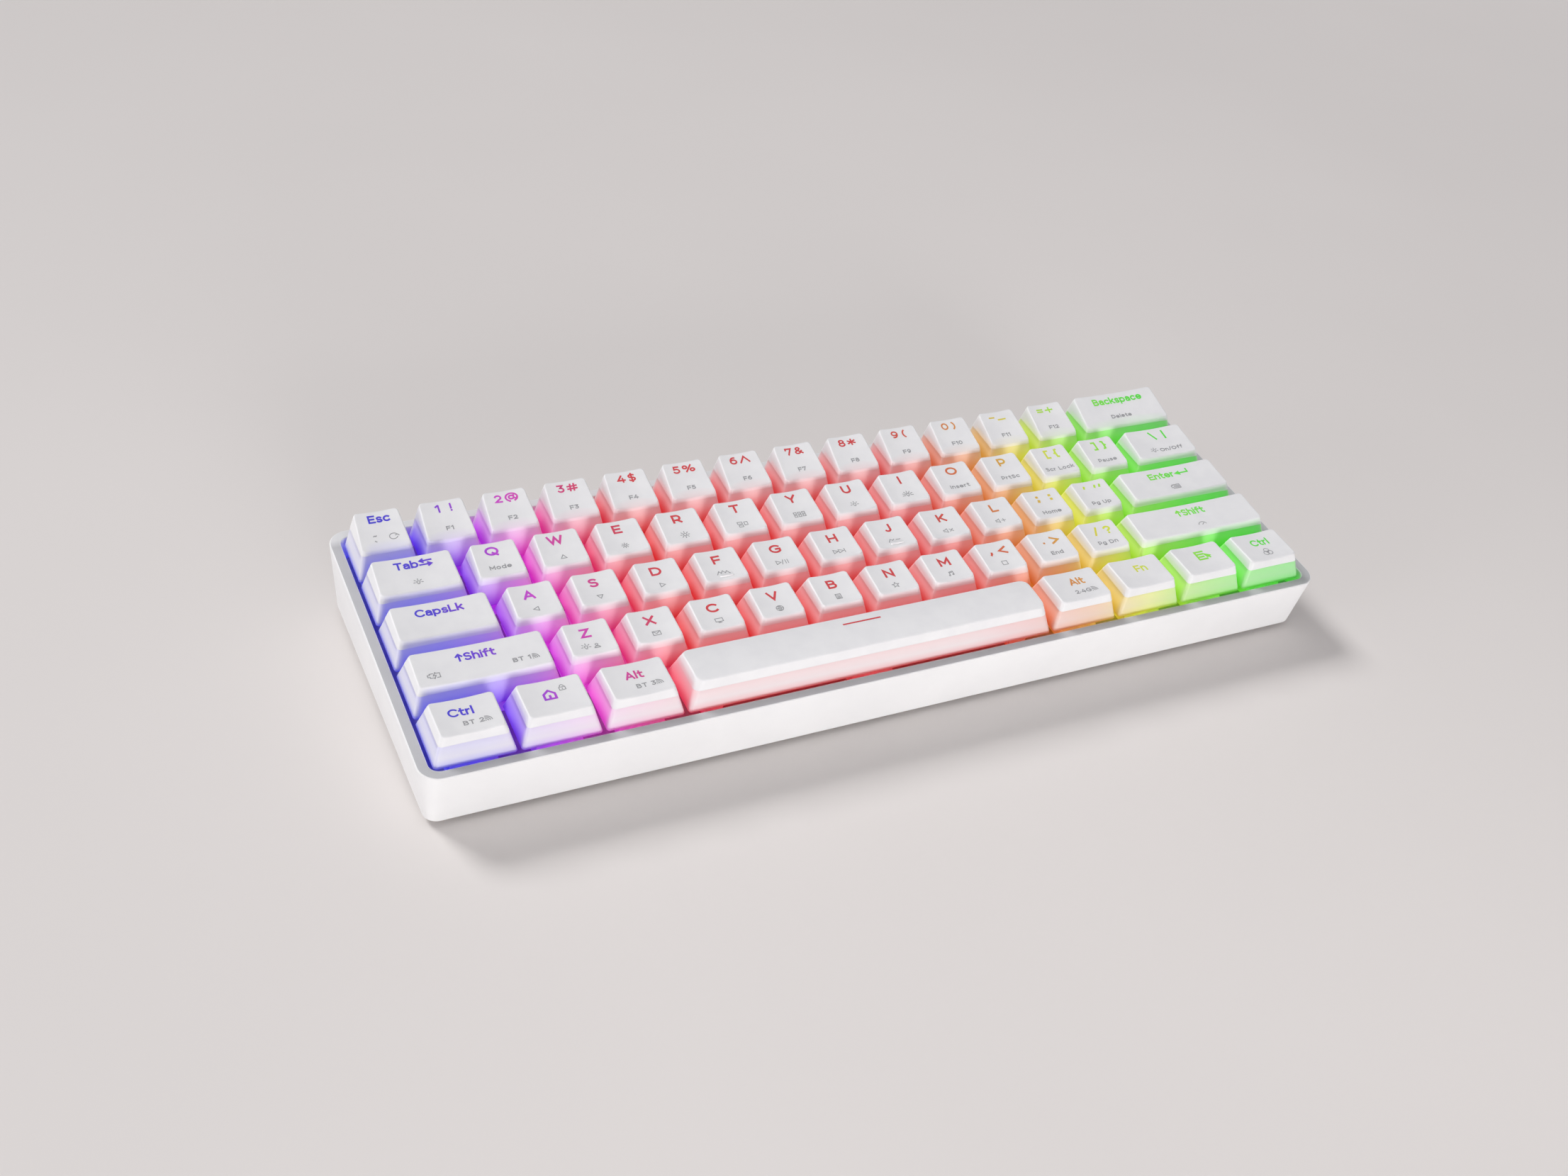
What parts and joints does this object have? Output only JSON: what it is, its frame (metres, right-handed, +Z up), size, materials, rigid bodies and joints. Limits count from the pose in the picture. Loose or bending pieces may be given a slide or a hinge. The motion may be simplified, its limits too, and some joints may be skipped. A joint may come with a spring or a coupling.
{
  "type": "mechanical keyboard",
  "caption": "compact wireless mechanical keyboard with a wedge-shaped tray case, sprung keys over a switch plate, and a charging port at the rear",
  "frame": {"origin": "middle of the footprint, on the table plane under the rubber pads", "axes": "+X to the typist's right along the long side, +Y away from the typist, +Z up"},
  "size_m": [0.2932, 0.1041, 0.0379],
  "materials": {
    "case_white": "satin",
    "keycap_white": "satin",
    "plate_white": "satin",
    "switch_clear": "gloss",
    "board_white": "satin",
    "battery_wrap": "gloss",
    "port_steel": "satin",
    "pad_rubber": "matte",
    "knob_white": "satin"
  },
  "bodies": {
    "case": {"case_tray": "case_white", "switch_plate": "plate_white", "switch_bank": "switch_clear", "circuit_board": "board_white", "battery_pack": "battery_wrap", "usb_c_port": "port_steel", "pad_front_left": "pad_rubber", "pad_front_right": "pad_rubber", "pad_rear_left": "pad_rubber", "pad_rear_right": "pad_rubber"},
    "key_esc": {"key_esc": "keycap_white"},
    "keys_1_2_3": {"keys_1_2_3": "keycap_white"},
    "keys_4_5_6": {"keys_4_5_6": "keycap_white"},
    "keys_7_8_9": {"keys_7_8_9": "keycap_white"},
    "keys_0_minus_equals": {"keys_0_minus_equals": "keycap_white"},
    "key_backspace": {"key_backspace": "keycap_white"},
    "key_tab": {"key_tab": "keycap_white"},
    "key_q": {"key_q": "keycap_white"},
    "key_w": {"key_w": "keycap_white"},
    "key_e": {"key_e": "keycap_white"},
    "key_r": {"key_r": "keycap_white"},
    "key_t": {"key_t": "keycap_white"},
    "key_y": {"key_y": "keycap_white"},
    "key_u": {"key_u": "keycap_white"},
    "key_i": {"key_i": "keycap_white"},
    "key_o": {"key_o": "keycap_white"},
    "key_p": {"key_p": "keycap_white"},
    "keys_brackets": {"keys_brackets": "keycap_white"},
    "key_backslash": {"key_backslash": "keycap_white"},
    "key_caps_lock": {"key_caps_lock": "keycap_white"},
    "key_a": {"key_a": "keycap_white"},
    "key_s": {"key_s": "keycap_white"},
    "key_d": {"key_d": "keycap_white"},
    "key_f": {"key_f": "keycap_white"},
    "key_g": {"key_g": "keycap_white"},
    "key_h": {"key_h": "keycap_white"},
    "key_j": {"key_j": "keycap_white"},
    "key_k": {"key_k": "keycap_white"},
    "key_l": {"key_l": "keycap_white"},
    "keys_semicolon_quote": {"keys_semicolon_quote": "keycap_white"},
    "key_enter": {"key_enter": "keycap_white"},
    "key_shift_left": {"key_shift_left": "keycap_white"},
    "key_z": {"key_z": "keycap_white"},
    "key_x": {"key_x": "keycap_white"},
    "key_c": {"key_c": "keycap_white"},
    "key_v": {"key_v": "keycap_white"},
    "key_b": {"key_b": "keycap_white"},
    "key_n": {"key_n": "keycap_white"},
    "key_m": {"key_m": "keycap_white"},
    "keys_comma_period_slash": {"keys_comma_period_slash": "keycap_white"},
    "key_shift_right": {"key_shift_right": "keycap_white"},
    "key_ctrl_left": {"key_ctrl_left": "keycap_white"},
    "key_system": {"key_system": "keycap_white"},
    "key_alt_left": {"key_alt_left": "keycap_white"},
    "key_space": {"key_space": "keycap_white"},
    "key_alt_right": {"key_alt_right": "keycap_white"},
    "key_fn": {"key_fn": "keycap_white"},
    "key_menu": {"key_menu": "keycap_white"},
    "key_ctrl_right": {"key_ctrl_right": "keycap_white"},
    "power_switch_knob": {"power_switch_knob": "knob_white"}
  },
  "joints": [
    {"name": "press_esc", "type": "slide", "parent": "case", "child": "key_esc", "axis": [0, 0.0642, -0.9979], "range_m": [0, 0.004], "stiffness_N_per_m": 75, "springref_m": -0.004},
    {"name": "press_1_2_3", "type": "slide", "parent": "case", "child": "keys_1_2_3", "axis": [0, 0.0642, -0.9979], "range_m": [0, 0.004], "stiffness_N_per_m": 225, "springref_m": -0.004},
    {"name": "press_4_5_6", "type": "slide", "parent": "case", "child": "keys_4_5_6", "axis": [0, 0.0642, -0.9979], "range_m": [0, 0.004], "stiffness_N_per_m": 225, "springref_m": -0.004},
    {"name": "press_7_8_9", "type": "slide", "parent": "case", "child": "keys_7_8_9", "axis": [0, 0.0642, -0.9979], "range_m": [0, 0.004], "stiffness_N_per_m": 225, "springref_m": -0.004},
    {"name": "press_0_minus_equals", "type": "slide", "parent": "case", "child": "keys_0_minus_equals", "axis": [0, 0.0642, -0.9979], "range_m": [0, 0.004], "stiffness_N_per_m": 225, "springref_m": -0.004},
    {"name": "press_backspace", "type": "slide", "parent": "case", "child": "key_backspace", "axis": [0, 0.0642, -0.9979], "range_m": [0, 0.004], "stiffness_N_per_m": 75, "springref_m": -0.004},
    {"name": "press_tab", "type": "slide", "parent": "case", "child": "key_tab", "axis": [0, 0.0642, -0.9979], "range_m": [0, 0.004], "stiffness_N_per_m": 75, "springref_m": -0.004},
    {"name": "press_q", "type": "slide", "parent": "case", "child": "key_q", "axis": [0, 0.0642, -0.9979], "range_m": [0, 0.004], "stiffness_N_per_m": 75, "springref_m": -0.004},
    {"name": "press_w", "type": "slide", "parent": "case", "child": "key_w", "axis": [0, 0.0642, -0.9979], "range_m": [0, 0.004], "stiffness_N_per_m": 75, "springref_m": -0.004},
    {"name": "press_e", "type": "slide", "parent": "case", "child": "key_e", "axis": [0, 0.0642, -0.9979], "range_m": [0, 0.004], "stiffness_N_per_m": 75, "springref_m": -0.004},
    {"name": "press_r", "type": "slide", "parent": "case", "child": "key_r", "axis": [0, 0.0642, -0.9979], "range_m": [0, 0.004], "stiffness_N_per_m": 75, "springref_m": -0.004},
    {"name": "press_t", "type": "slide", "parent": "case", "child": "key_t", "axis": [0, 0.0642, -0.9979], "range_m": [0, 0.004], "stiffness_N_per_m": 75, "springref_m": -0.004},
    {"name": "press_y", "type": "slide", "parent": "case", "child": "key_y", "axis": [0, 0.0642, -0.9979], "range_m": [0, 0.004], "stiffness_N_per_m": 75, "springref_m": -0.004},
    {"name": "press_u", "type": "slide", "parent": "case", "child": "key_u", "axis": [0, 0.0642, -0.9979], "range_m": [0, 0.004], "stiffness_N_per_m": 75, "springref_m": -0.004},
    {"name": "press_i", "type": "slide", "parent": "case", "child": "key_i", "axis": [0, 0.0642, -0.9979], "range_m": [0, 0.004], "stiffness_N_per_m": 75, "springref_m": -0.004},
    {"name": "press_o", "type": "slide", "parent": "case", "child": "key_o", "axis": [0, 0.0642, -0.9979], "range_m": [0, 0.004], "stiffness_N_per_m": 75, "springref_m": -0.004},
    {"name": "press_p", "type": "slide", "parent": "case", "child": "key_p", "axis": [0, 0.0642, -0.9979], "range_m": [0, 0.004], "stiffness_N_per_m": 75, "springref_m": -0.004},
    {"name": "press_brackets", "type": "slide", "parent": "case", "child": "keys_brackets", "axis": [0, 0.0642, -0.9979], "range_m": [0, 0.004], "stiffness_N_per_m": 150, "springref_m": -0.004},
    {"name": "press_backslash", "type": "slide", "parent": "case", "child": "key_backslash", "axis": [0, 0.0642, -0.9979], "range_m": [0, 0.004], "stiffness_N_per_m": 75, "springref_m": -0.004},
    {"name": "press_caps_lock", "type": "slide", "parent": "case", "child": "key_caps_lock", "axis": [0, 0.0642, -0.9979], "range_m": [0, 0.004], "stiffness_N_per_m": 75, "springref_m": -0.004},
    {"name": "press_a", "type": "slide", "parent": "case", "child": "key_a", "axis": [0, 0.0642, -0.9979], "range_m": [0, 0.004], "stiffness_N_per_m": 75, "springref_m": -0.004},
    {"name": "press_s", "type": "slide", "parent": "case", "child": "key_s", "axis": [0, 0.0642, -0.9979], "range_m": [0, 0.004], "stiffness_N_per_m": 75, "springref_m": -0.004},
    {"name": "press_d", "type": "slide", "parent": "case", "child": "key_d", "axis": [0, 0.0642, -0.9979], "range_m": [0, 0.004], "stiffness_N_per_m": 75, "springref_m": -0.004},
    {"name": "press_f", "type": "slide", "parent": "case", "child": "key_f", "axis": [0, 0.0642, -0.9979], "range_m": [0, 0.004], "stiffness_N_per_m": 75, "springref_m": -0.004},
    {"name": "press_g", "type": "slide", "parent": "case", "child": "key_g", "axis": [0, 0.0642, -0.9979], "range_m": [0, 0.004], "stiffness_N_per_m": 75, "springref_m": -0.004},
    {"name": "press_h", "type": "slide", "parent": "case", "child": "key_h", "axis": [0, 0.0642, -0.9979], "range_m": [0, 0.004], "stiffness_N_per_m": 75, "springref_m": -0.004},
    {"name": "press_j", "type": "slide", "parent": "case", "child": "key_j", "axis": [0, 0.0642, -0.9979], "range_m": [0, 0.004], "stiffness_N_per_m": 75, "springref_m": -0.004},
    {"name": "press_k", "type": "slide", "parent": "case", "child": "key_k", "axis": [0, 0.0642, -0.9979], "range_m": [0, 0.004], "stiffness_N_per_m": 75, "springref_m": -0.004},
    {"name": "press_l", "type": "slide", "parent": "case", "child": "key_l", "axis": [0, 0.0642, -0.9979], "range_m": [0, 0.004], "stiffness_N_per_m": 75, "springref_m": -0.004},
    {"name": "press_semicolon_quote", "type": "slide", "parent": "case", "child": "keys_semicolon_quote", "axis": [0, 0.0642, -0.9979], "range_m": [0, 0.004], "stiffness_N_per_m": 150, "springref_m": -0.004},
    {"name": "press_enter", "type": "slide", "parent": "case", "child": "key_enter", "axis": [0, 0.0642, -0.9979], "range_m": [0, 0.004], "stiffness_N_per_m": 75, "springref_m": -0.004},
    {"name": "press_shift_left", "type": "slide", "parent": "case", "child": "key_shift_left", "axis": [0, 0.0642, -0.9979], "range_m": [0, 0.004], "stiffness_N_per_m": 75, "springref_m": -0.004},
    {"name": "press_z", "type": "slide", "parent": "case", "child": "key_z", "axis": [0, 0.0642, -0.9979], "range_m": [0, 0.004], "stiffness_N_per_m": 75, "springref_m": -0.004},
    {"name": "press_x", "type": "slide", "parent": "case", "child": "key_x", "axis": [0, 0.0642, -0.9979], "range_m": [0, 0.004], "stiffness_N_per_m": 75, "springref_m": -0.004},
    {"name": "press_c", "type": "slide", "parent": "case", "child": "key_c", "axis": [0, 0.0642, -0.9979], "range_m": [0, 0.004], "stiffness_N_per_m": 75, "springref_m": -0.004},
    {"name": "press_v", "type": "slide", "parent": "case", "child": "key_v", "axis": [0, 0.0642, -0.9979], "range_m": [0, 0.004], "stiffness_N_per_m": 75, "springref_m": -0.004},
    {"name": "press_b", "type": "slide", "parent": "case", "child": "key_b", "axis": [0, 0.0642, -0.9979], "range_m": [0, 0.004], "stiffness_N_per_m": 75, "springref_m": -0.004},
    {"name": "press_n", "type": "slide", "parent": "case", "child": "key_n", "axis": [0, 0.0642, -0.9979], "range_m": [0, 0.004], "stiffness_N_per_m": 75, "springref_m": -0.004},
    {"name": "press_m", "type": "slide", "parent": "case", "child": "key_m", "axis": [0, 0.0642, -0.9979], "range_m": [0, 0.004], "stiffness_N_per_m": 75, "springref_m": -0.004},
    {"name": "press_comma_period_slash", "type": "slide", "parent": "case", "child": "keys_comma_period_slash", "axis": [0, 0.0642, -0.9979], "range_m": [0, 0.004], "stiffness_N_per_m": 225, "springref_m": -0.004},
    {"name": "press_shift_right", "type": "slide", "parent": "case", "child": "key_shift_right", "axis": [0, 0.0642, -0.9979], "range_m": [0, 0.004], "stiffness_N_per_m": 75, "springref_m": -0.004},
    {"name": "press_ctrl_left", "type": "slide", "parent": "case", "child": "key_ctrl_left", "axis": [0, 0.0642, -0.9979], "range_m": [0, 0.004], "stiffness_N_per_m": 75, "springref_m": -0.004},
    {"name": "press_system", "type": "slide", "parent": "case", "child": "key_system", "axis": [0, 0.0642, -0.9979], "range_m": [0, 0.004], "stiffness_N_per_m": 75, "springref_m": -0.004},
    {"name": "press_alt_left", "type": "slide", "parent": "case", "child": "key_alt_left", "axis": [0, 0.0642, -0.9979], "range_m": [0, 0.004], "stiffness_N_per_m": 75, "springref_m": -0.004},
    {"name": "press_space", "type": "slide", "parent": "case", "child": "key_space", "axis": [0, 0.0642, -0.9979], "range_m": [0, 0.004], "stiffness_N_per_m": 75, "springref_m": -0.004},
    {"name": "press_alt_right", "type": "slide", "parent": "case", "child": "key_alt_right", "axis": [0, 0.0642, -0.9979], "range_m": [0, 0.004], "stiffness_N_per_m": 75, "springref_m": -0.004},
    {"name": "press_fn", "type": "slide", "parent": "case", "child": "key_fn", "axis": [0, 0.0642, -0.9979], "range_m": [0, 0.004], "stiffness_N_per_m": 75, "springref_m": -0.004},
    {"name": "press_menu", "type": "slide", "parent": "case", "child": "key_menu", "axis": [0, 0.0642, -0.9979], "range_m": [0, 0.004], "stiffness_N_per_m": 75, "springref_m": -0.004},
    {"name": "press_ctrl_right", "type": "slide", "parent": "case", "child": "key_ctrl_right", "axis": [0, 0.0642, -0.9979], "range_m": [0, 0.004], "stiffness_N_per_m": 75, "springref_m": -0.004},
    {"name": "power_switch_slide", "type": "slide", "parent": "case", "child": "power_switch_knob", "axis": [1, 0, 0], "range_m": [0, 0.003]}
  ]
}
